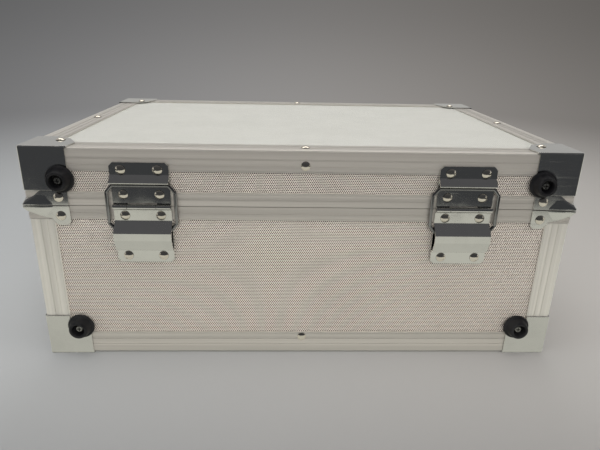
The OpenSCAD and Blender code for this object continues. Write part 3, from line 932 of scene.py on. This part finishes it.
@dataclass
class RivetHeads(Part):
    """The domed heads that hold rails, corners, guards and hinges."""

    radius: float = 0.0042
    height: float = 0.0019
    rim: float = 0.00035

    def build(self, book: FinishBook) -> None:
        """Sets a head wherever the CAD has one."""
        finish = PlatedSheet(tone=(0.86, 0.80, 0.70), roughness=0.08, haze=0.10, wave=0.00002)
        tree = self.head_tree(book.take("bright rivet", finish))
        sizes = {"Radius": self.radius, "Height": self.height, "Rim": self.rim}
        for body in BODIES:
            name = f"{body}_rivet_heads"
            seed = self.seats(name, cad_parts[f"{body}_rivets"].data)
            piece = grown(name, seed, tree, sizes)
            piece.data.set_sharp_from_angle(angle=math.radians(50))
            ride_as(piece, body, [f"{body}_rivets"])

    @staticmethod
    def seats(name: str, cad_mesh: Mesh) -> Mesh:
        """Finds the seat and the direction of every head in a CAD mesh.

        Args:
            name: the new mesh's name.
            cad_mesh: the mesh of the CAD rivets, which is only read.

        Returns:
            A mesh of points, with the direction of each in the attribute "facing".
        """
        merged = bmesh.new()
        merged.from_mesh(cad_mesh)
        bmesh.ops.remove_doubles(merged, verts=merged.verts, dist=1e-6)
        seen: set[bmesh.types.BMVert] = set()
        points: list[Vector] = []
        facings: list[Vector] = []
        for start in merged.verts:
            if start in seen:
                continue
            island = [start]
            seen.add(start)
            for corner in island:
                for edge in corner.link_edges:
                    other = edge.other_vert(corner)
                    if other not in seen:
                        seen.add(other)
                        island.append(other)
            seat, facing = RivetHeads.seat_of([corner.co for corner in island])
            points.append(seat)
            facings.append(facing)
        merged.free()
        mesh = bpy.data.meshes.new(name)
        mesh.from_pydata(points, [], [])
        facing_data = mesh.attributes.new("facing", "FLOAT_VECTOR", "POINT")
        facing_data.data.foreach_set("vector", [part for facing in facings for part in facing])
        return mesh

    @staticmethod
    def seat_of(corners: Sequence[Vector]) -> tuple[Vector, Vector]:
        """Reads the seat and the direction of one head from its corners.

        Args:
            corners: the corners of its mesh.

        Returns:
            The middle of its flat side and the way its dome points.
        """
        low = Vector([min(point[n] for point in corners) for n in range(3)])
        high = Vector([max(point[n] for point in corners) for n in range(3)])
        thin = min(range(3), key=lambda n: high[n] - low[n])
        at_low = sum(point[thin] - low[thin] < 1e-5 for point in corners)
        at_high = sum(high[thin] - point[thin] < 1e-5 for point in corners)
        seat = (low + high) / 2
        seat[thin] = low[thin] if at_low > at_high else high[thin]
        facing = Vector((0.0, 0.0, 0.0))
        facing[thin] = 1.0 if at_low > at_high else -1.0
        return seat, facing

    @staticmethod
    def head_tree(material: Material) -> Tree:
        """Builds the geometry tree that stands a domed head on each point.

        Args:
            material: the heads' material.

        Returns:
            The tree.
        """
        inputs = {
            "Geometry": (GEOMETRY, None),
            "Radius": (FLOAT, 0.0042),
            "Height": (FLOAT, 0.0019),
            "Rim": (FLOAT, 0.00035),
        }
        outputs = {"Geometry": GEOMETRY}
        graph, given, result = open_group("domed heads", "GeometryNodeTree", inputs, outputs)
        ball = graph.add("GeometryNodeMeshUVSphere", {"Segments": 32, "Rings": 18, "Radius": 1.0})
        spot = graph.parts(graph.add("GeometryNodeInputPosition").outputs[0])
        angle = graph.math("ARCCOSINE", graph.math("MINIMUM", graph.math("ABSOLUTE", spot[2]), 1.0))
        share = graph.math("DIVIDE", angle, math.pi / 2)
        outward = graph.vector("NORMALIZE", graph.plane(spot[0], spot[1]))
        reach = graph.times(graph.math("MINIMUM", share, 1.0), given["Radius"])
        crown = graph.math("SUBTRACT", given["Height"], given["Rim"])
        dome = graph.math("SUBTRACT", 1.0, graph.math("POWER", share, 2.2))
        domed = graph.math("MULTIPLY_ADD", dome, crown, given["Rim"])
        above = graph.math("GREATER_THAN", spot[2], -0.01)
        level = graph.add("ShaderNodeCombineXYZ", {2: graph.times(domed, above)}).outputs[0]
        moved = graph.vector("ADD", graph.scale(outward, reach), level)
        head = graph.add("GeometryNodeSetPosition", {"Geometry": ball.outputs[0], "Position": moved})
        facing = graph.add("GeometryNodeInputNamedAttribute", {"Name": "facing"}, data_type="FLOAT_VECTOR")
        turned = graph.add("FunctionNodeAlignRotationToVector", {"Vector": facing.outputs[0]}, axis="Z")
        placed = graph.add(
            "GeometryNodeInstanceOnPoints",
            {"Points": given["Geometry"], "Instance": head.outputs[0], "Rotation": turned.outputs[0]},
        )
        graph.feed(result[0], finished(graph, placed, material))
        return graph.tree


@dataclass
class RubberFeet(Part):
    """The four tapered feet on the hinge wall, each with a sunk screw."""

    across: float = 0.208
    low: float = 0.031
    high: float = 0.174
    wall: float = -0.1674

    def build(self, book: FinishBook) -> None:
        """Turns the feet and dresses the screws in them."""
        rubber = book.take("black foot rubber", Moulding())
        # The screw's dark tone is painted shade, standing in for the shade of the foot's recess that it sits
        # in.
        screw = book.take("screw with painted recess shade", PlatedSheet(tone=(0.30, 0.295, 0.28), roughness=0.16))
        for body, height in zip(BODIES, (self.low, self.high)):
            name = f"{body}_rubber_feet"
            places = [self.place(side * self.across, height) for side in (-1, 1)]
            shapes = [turned_piece(self.profile(), place) for place in places]
            piece = add_object(name, smooth_mesh(name, shapes, 38))
            piece.data.materials.append(rubber)
            ride_as(piece, body, [f"{body}_feet"])
            dress([f"{body}_foot_screws"], screw)

    def place(self, across: float, height: float) -> Matrix:
        """Stands a foot's axis square to the hinge wall.

        Args:
            across: its place along the case.
            height: its height.

        Returns:
            The placing matrix.
        """
        return Matrix.Translation((across, self.wall, height)) @ Matrix.Rotation(math.radians(90), 4, "X")

    @staticmethod
    def profile() -> list[tuple[float, float]]:
        """Gives the half section of a foot: flange, waist, tapered cup and screw recess.

        Returns:
            Radius and height of each corner, in metres.
        """
        flange = [(2.2, 0.0), (11.5, 0.0), (11.9, 0.4), (12.0, 1.0), (12.0, 1.9), (11.8, 2.4), (11.3, 2.8)]
        waist = [(10.3, 2.9), (10.0, 3.2), (9.7, 4.0), (9.0, 7.2), (8.5, 9.3)]
        lip = [(8.2, 10.0), (7.7, 10.4), (7.0, 10.5), (6.3, 10.45), (5.8, 10.1), (5.6, 9.5)]
        recess = [(5.2, 5.4), (4.9, 4.6), (4.4, 4.5), (2.2, 4.5)]
        return [(radius / 1000, height / 1000) for radius, height in flange + waist + lip + recess]


class Latches(Part):
    """The two latches of the opening side: mounts, hasps, housings and buttons."""

    def build(self, book: FinishBook) -> None:
        """Dresses the latch pieces."""
        sheet = book.take("plated latch sheet", LATCH_SHEET)
        button = book.take("bright screw", PlatedSheet(tone=(0.80, 0.78, 0.74), roughness=0.14))
        dress([f"latch_{side}_{piece}" for piece in ("housing", "hasp") for side in SIDES], sheet)
        dress(["hasp_mounts"], sheet)
        dress([f"latch_{side}_button" for side in SIDES], button)


class CarryingHandle(Part):
    """The swinging handle and its brackets."""

    def build(self, book: FinishBook) -> None:
        """Dresses the handle pieces."""
        grip = book.take("black grip moulding", Moulding(roughness=0.36, pebble=800.0, relief=0.0001))
        dress(["handle_grip"], grip)
        dress(["handle_brackets"], book.take("plated latch sheet", LATCH_SHEET))


class Lining(Part):
    """The felt trays inside the base and the lid."""

    def build(self, book: FinishBook) -> None:
        """Dresses both trays."""
        dress(["base_lining", "lid_lining"], book.take("dark needled felt", Felt()))


@dataclass(frozen=True)
class Lamp:
    """A soft lamp that faces the case and that no plating mirrors."""

    name: str
    place: Place
    size: tuple[float, float]
    watts: float
    tint: Colour

    def hang(self) -> None:
        """Hangs the lamp."""
        data = bpy.data.lights.new(self.name, "AREA")
        data.shape = "RECTANGLE"
        data.size, data.size_y = self.size
        data.energy = self.watts
        data.color = self.tint
        lamp = bpy.data.objects.new(self.name, data)
        lamp.location = self.place
        aim = Vector((0.0, 0.0, 0.1)) - Vector(self.place)
        lamp.rotation_euler = aim.to_track_quat("-Z", "Y").to_euler()
        lamp.visible_glossy = False
        bpy.context.scene.collection.objects.link(lamp)


LAMPS = (
    Lamp("softbox over the case", (-0.25, -0.15, 1.7), (1.5, 1.2), 12.5, (1.0, 0.995, 0.98)),
    Lamp("left fill", (-1.7, -0.7, 0.9), (0.9, 0.9), 7.0, (0.95, 1.0, 1.0)),
    Lamp("right fill", (1.7, -0.7, 0.9), (0.9, 0.9), 8.0, (1.0, 0.93, 0.87)),
    Lamp("rear fill", (0.2, 1.7, 0.8), (1.4, 0.9), 16.0, (1.0, 0.99, 0.97)),
    Lamp("front fill", (0.1, -1.7, 0.8), (1.6, 1.0), 21.5, (1.0, 0.97, 0.93)),
)


@dataclass
class Studio:
    """The pale floor, the backdrop, the lamps and the cards that the plating mirrors."""

    floor_left: Colour = (0.368, 0.380, 0.390)
    floor_right: Colour = (0.385, 0.373, 0.360)
    far_left: Colour = (0.222, 0.222, 0.225)
    far_right: Colour = (0.250, 0.235, 0.220)
    wall: float = 3.5
    wall_top: float = 6.0
    bend: float = 1.2
    mirror_tone: Colour = (0.54, 0.54, 0.49)
    room_tone: Colour = (1.0, 0.99, 0.975)
    room_level: float = 0.42
    table_edge: float = -0.615

    def build(self) -> None:
        """Lays out the whole studio."""
        self.floor()
        self.world()
        self.mirror_cards()
        for lamp in LAMPS:
            lamp.hang()

    def bowl(self) -> Mesh:
        """Shapes the round floor, which curves up into a wall on every side.

        Returns:
            Its mesh.
        """
        steps, bend = 72, self.bend
        rises = [math.radians(7.5 * step) for step in range(13)]
        profile = [(self.wall - bend + bend * math.sin(rise), bend - bend * math.cos(rise)) for rise in rises]
        profile.append((self.wall, self.wall_top))
        turns = [2 * math.pi * step / steps for step in range(steps)]
        corners = [(r * math.cos(turn), r * math.sin(turn), z) for r, z in profile for turn in turns]
        faces = [tuple(range(steps))]
        for ring in range(len(profile) - 1):
            for step in range(steps):
                low, following = ring * steps + step, ring * steps + (step + 1) % steps
                faces.append((low, low + steps, following + steps, following))
        mesh = bpy.data.meshes.new("studio_floor")
        mesh.from_pydata(corners, [], faces)
        mesh.shade_smooth()
        return mesh

    def floor(self) -> None:
        """Lays a pale floor that curves up into the backdrop and fades there."""
        surface = Surface("pale studio floor")
        graph = surface.graph
        along, depth, height = graph.parts(surface.place)
        pale = graph.colours(graph.remap(along, -0.5, 0.5), self.floor_left, self.floor_right)
        shade = graph.remap(depth, -0.34, -0.16, 0.70, 1.0)
        grey = graph.add("ShaderNodeCombineColor", {0: shade, 1: shade, 2: shade}).outputs[0]
        surface.set(Base_Color=graph.colours(1.0, pale, grey, "MULTIPLY"), Roughness=0.8)
        away = graph.vector("LENGTH", surface.place)
        bearing = graph.math("DIVIDE", along, graph.math("ADD", graph.math("ABSOLUTE", depth), 0.6))
        dim = graph.times(
            graph.remap(graph.math("ABSOLUTE", bearing), 0.0, 0.8, 1.06, 0.64),
            graph.remap(graph.math("MULTIPLY_ADD", height, 4.0, away), 1.5, 6.0, 1.12, 0.70),
        )
        far = graph.colours(graph.remap(bearing, -0.6, 0.6), self.far_left, self.far_right)
        shown = graph.mix_shaders(
            graph.remap(away, 0.3, 1.8), surface.shader.outputs[0], self.glow(graph, far, dim)
        )
        bright = self.glow(graph, self.mirror_tone, graph.remap(away, 0.28, 0.46, 0.93, 1.03))
        room = self.glow(graph, self.room_tone, self.room_level)
        path = graph.add("ShaderNodeLightPath").outputs
        mirrored = graph.math("MAXIMUM", path["Is Glossy Ray"], path["Is Transmission Ray"])
        lying = graph.mix_shaders(mirrored, shown, bright)
        around = graph.mix_shaders(graph.remap(height, 0.05, 0.8), lying, room)
        output = next(node for node in graph.tree.nodes if node.type == "OUTPUT_MATERIAL")
        graph.feed(output.inputs["Surface"], graph.mix_shaders(path["Is Camera Ray"], around, shown))
        floor = add_object("studio_floor", self.bowl())
        floor.data.materials.append(surface.material)

    @staticmethod
    def glow(graph: Graph, tone: Value, level: Value, kind: str = "Emission") -> Socket:
        """Adds a shader that gives light of its own.

        Args:
            graph: the tree that it is added to.
            tone: the light's colour.
            level: its strength.
            kind: Emission, or Background for a world.

        Returns:
            The shader's socket.
        """
        return graph.add(f"ShaderNode{kind}", {"Color": wide(tone), "Strength": level}).outputs[0]

    def world(self) -> None:
        """Lights the room evenly, and shows the backdrop tone to the camera."""
        world = bpy.data.worlds.new("studio world")
        bpy.context.scene.world = world
        world.use_nodes = True
        world.node_tree.nodes.clear()
        graph = Graph(world.node_tree)
        path = graph.add("ShaderNodeLightPath").outputs
        light = self.glow(graph, self.room_tone, self.room_level, "Background")
        shown = self.glow(graph, self.far_left, 0.8, "Background")
        mixed = graph.mix_shaders(path["Is Camera Ray"], light, shown)
        graph.feed(graph.add("ShaderNodeOutputWorld").inputs[0], mixed)

    def mirror_cards(self) -> None:
        """Stands a dark card behind the camera and hangs a bright strip over the far edge of the case."""
        half, edge, wing, wing_end, lift = 3.4, self.table_edge, 0.5, -0.3, 0.002
        profile = ((edge, lift), (-1.5, lift), (-1.5, 0.9), (-0.9, 1.9), (0.4, 2.3))
        corners = [(x, y, z) for y, z in profile for x in (-half, half)]
        faces = [(n, n + 1, n + 3, n + 2) for n in range(0, len(corners) - 2, 2)]
        for side in (-1, 1):
            start = len(corners)
            outline = ((wing, edge), (half, edge), (half, wing_end), (wing, wing_end))
            corners += [(side * x, y, lift) for x, y in outline]
            faces.append(tuple(range(start, start + 4)))
        dark = Surface("dark card")
        raised = dark.graph.remap(dark.graph.parts(dark.place)[2], 0.8, 1.9)
        tone = dark.graph.colours(raised, (0.038, 0.040, 0.044), (0.082, 0.082, 0.088))
        self.card("dark_card", corners, faces, dark, tone, 1.0)
        strip = [(-1.3, 0.45, 2.2), (1.3, 0.45, 2.2), (1.3, 1.1, 2.0), (-1.3, 1.1, 2.0)]
        self.card("bright_strip", strip, [(0, 1, 2, 3)], Surface("bright strip"), (1.0, 0.98, 0.94), 2.2)

    @staticmethod
    def card(
        name: str,
        corners: Sequence[Place],
        faces: Sequence[tuple[int, ...]],
        surface: Surface,
        tone: Value,
        level: float,
    ) -> None:
        """Puts up one card that only reflections show.

        Args:
            name: the card's name.
            corners: its corners.
            faces: the corners of each face.
            surface: what it is faced with.
            tone: the colour that it shows.
            level: how bright it is.
        """
        black = (0.0, 0.0, 0.0)
        surface.set(Base_Color=black, Roughness=1.0, Emission_Color=tone, Emission_Strength=level)
        mesh = bpy.data.meshes.new(name)
        mesh.from_pydata(corners, [], faces)
        mesh.materials.append(surface.material)
        card = add_object(name, mesh)
        for ray in ("camera", "diffuse", "transmission", "volume_scatter", "shadow"):
            setattr(card, f"visible_{ray}", False)


@dataclass
class PhotoCamera:
    """The camera at the photograph's place, in metres and degrees."""

    place: Place = (-0.0198, -0.5931, 0.2934)
    turn: float = 2.15
    tilt: float = 20.51
    roll: float = 1.25
    lens: float = 30.71

    def build(self) -> None:
        """Makes the camera and gives it to the scene."""
        turn, tilt, roll = (math.radians(angle) for angle in (self.turn, self.tilt, self.roll))
        ahead = Vector((math.sin(turn) * math.cos(tilt), math.cos(turn) * math.cos(tilt), -math.sin(tilt)))
        right = Vector((math.cos(turn), -math.sin(turn), 0.0))
        up = right.cross(ahead)
        rolled_right = math.cos(roll) * right + math.sin(roll) * up
        rolled_up = math.cos(roll) * up - math.sin(roll) * right
        data = bpy.data.cameras.new("photo camera")
        data.sensor_width = 36.0
        data.lens = self.lens
        data.clip_start = 0.01
        camera = bpy.data.objects.new("photo camera", data)
        axes = Matrix((rolled_right, rolled_up, -ahead)).transposed()
        camera.matrix_world = Matrix.Translation(self.place) @ axes.to_4x4()
        bpy.context.scene.collection.objects.link(camera)
        bpy.context.scene.camera = camera
        bpy.context.scene.view_settings.view_transform = "Standard"


PARTS: tuple[Part, ...] = (
    Walls(),
    EdgeFrame(),
    PressedFittings(),
    HingeLeaves(),
    StopRings(),
    RivetHeads(),
    RubberFeet(),
    Latches(),
    CarryingHandle(),
    Lining(),
)


def main() -> None:
    """Builds the looks of the case, the studio and the camera."""
    logging.basicConfig(level=logging.INFO, format="%(name)s: %(message)s")
    book = FinishBook()
    for part in PARTS:
        part.build(book)
    Studio().build()
    PhotoCamera().build()


if __name__ == "__main__":
    main()
